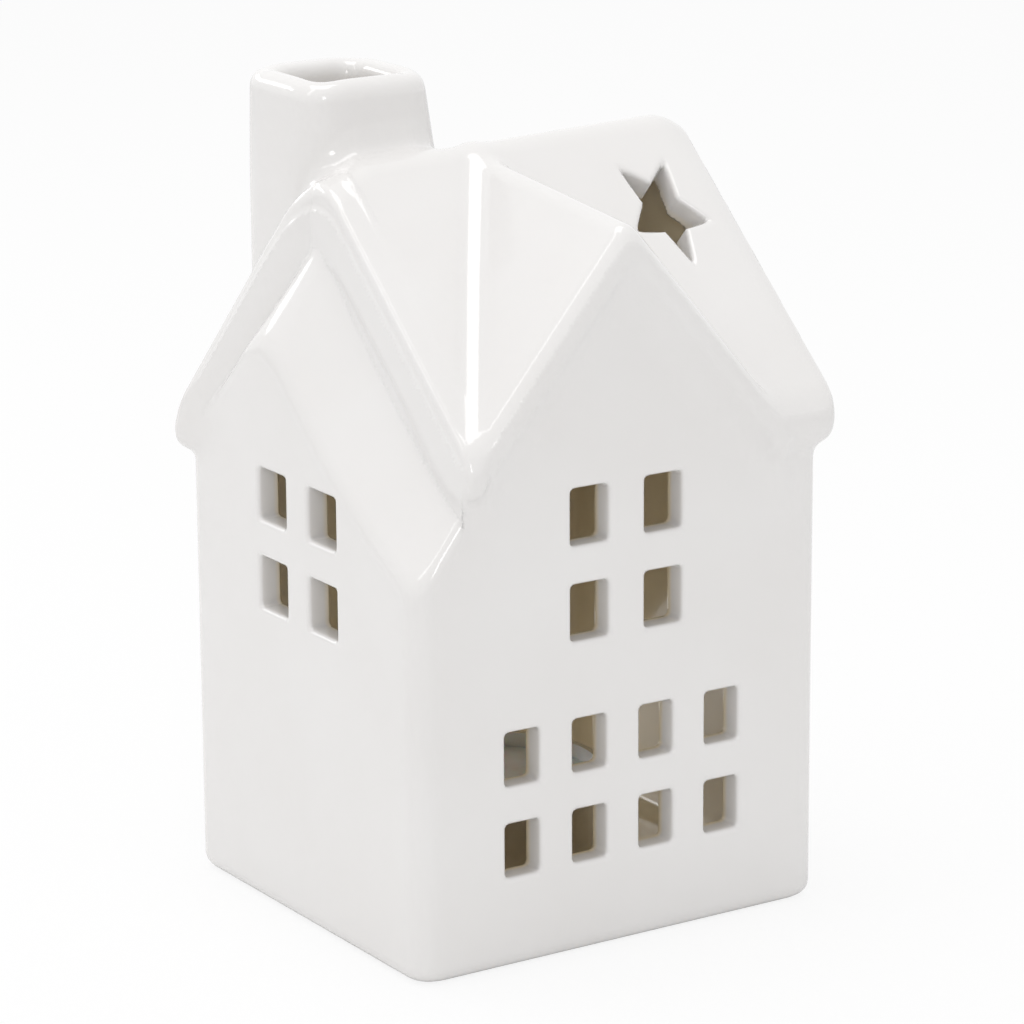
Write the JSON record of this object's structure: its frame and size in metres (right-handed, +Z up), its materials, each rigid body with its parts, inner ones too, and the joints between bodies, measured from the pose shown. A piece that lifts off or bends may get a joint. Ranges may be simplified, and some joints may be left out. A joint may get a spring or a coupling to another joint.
{
  "type": "tealight house",
  "caption": "Hollow glazed ceramic house with window holes, a star hole and an open flue, lit from inside by a tealight that slides in through the arched back.",
  "frame": {"origin": "under the middle of the whole object's outline, on the plane that the foot rests on", "axes": "+Z up, the wide front wall with twelve windows faces -Y, +X to the right of someone facing the front, the arched opening faces +Y"},
  "size_m": [0.084, 0.078, 0.1395],
  "materials": {
    "glaze": "smooth white gloss glaze, bare at the foot",
    "cup": "thin drawn foil, satin",
    "wax": null,
    "sustainer": "tinned thin sheet",
    "wick": "waxed cotton braid"
  },
  "bodies": {
    "house_body": {"house": "glaze"},
    "tealight": {"tealight_cup": "cup", "wax": "wax", "wick_sustainer": "sustainer", "wick": "wick"}
  },
  "joints": [
    {"name": "tealight_slide", "type": "slide", "parent": "house_body", "child": "tealight", "axis": [0, 1, 0], "range_m": [0, 0.06]}
  ]
}
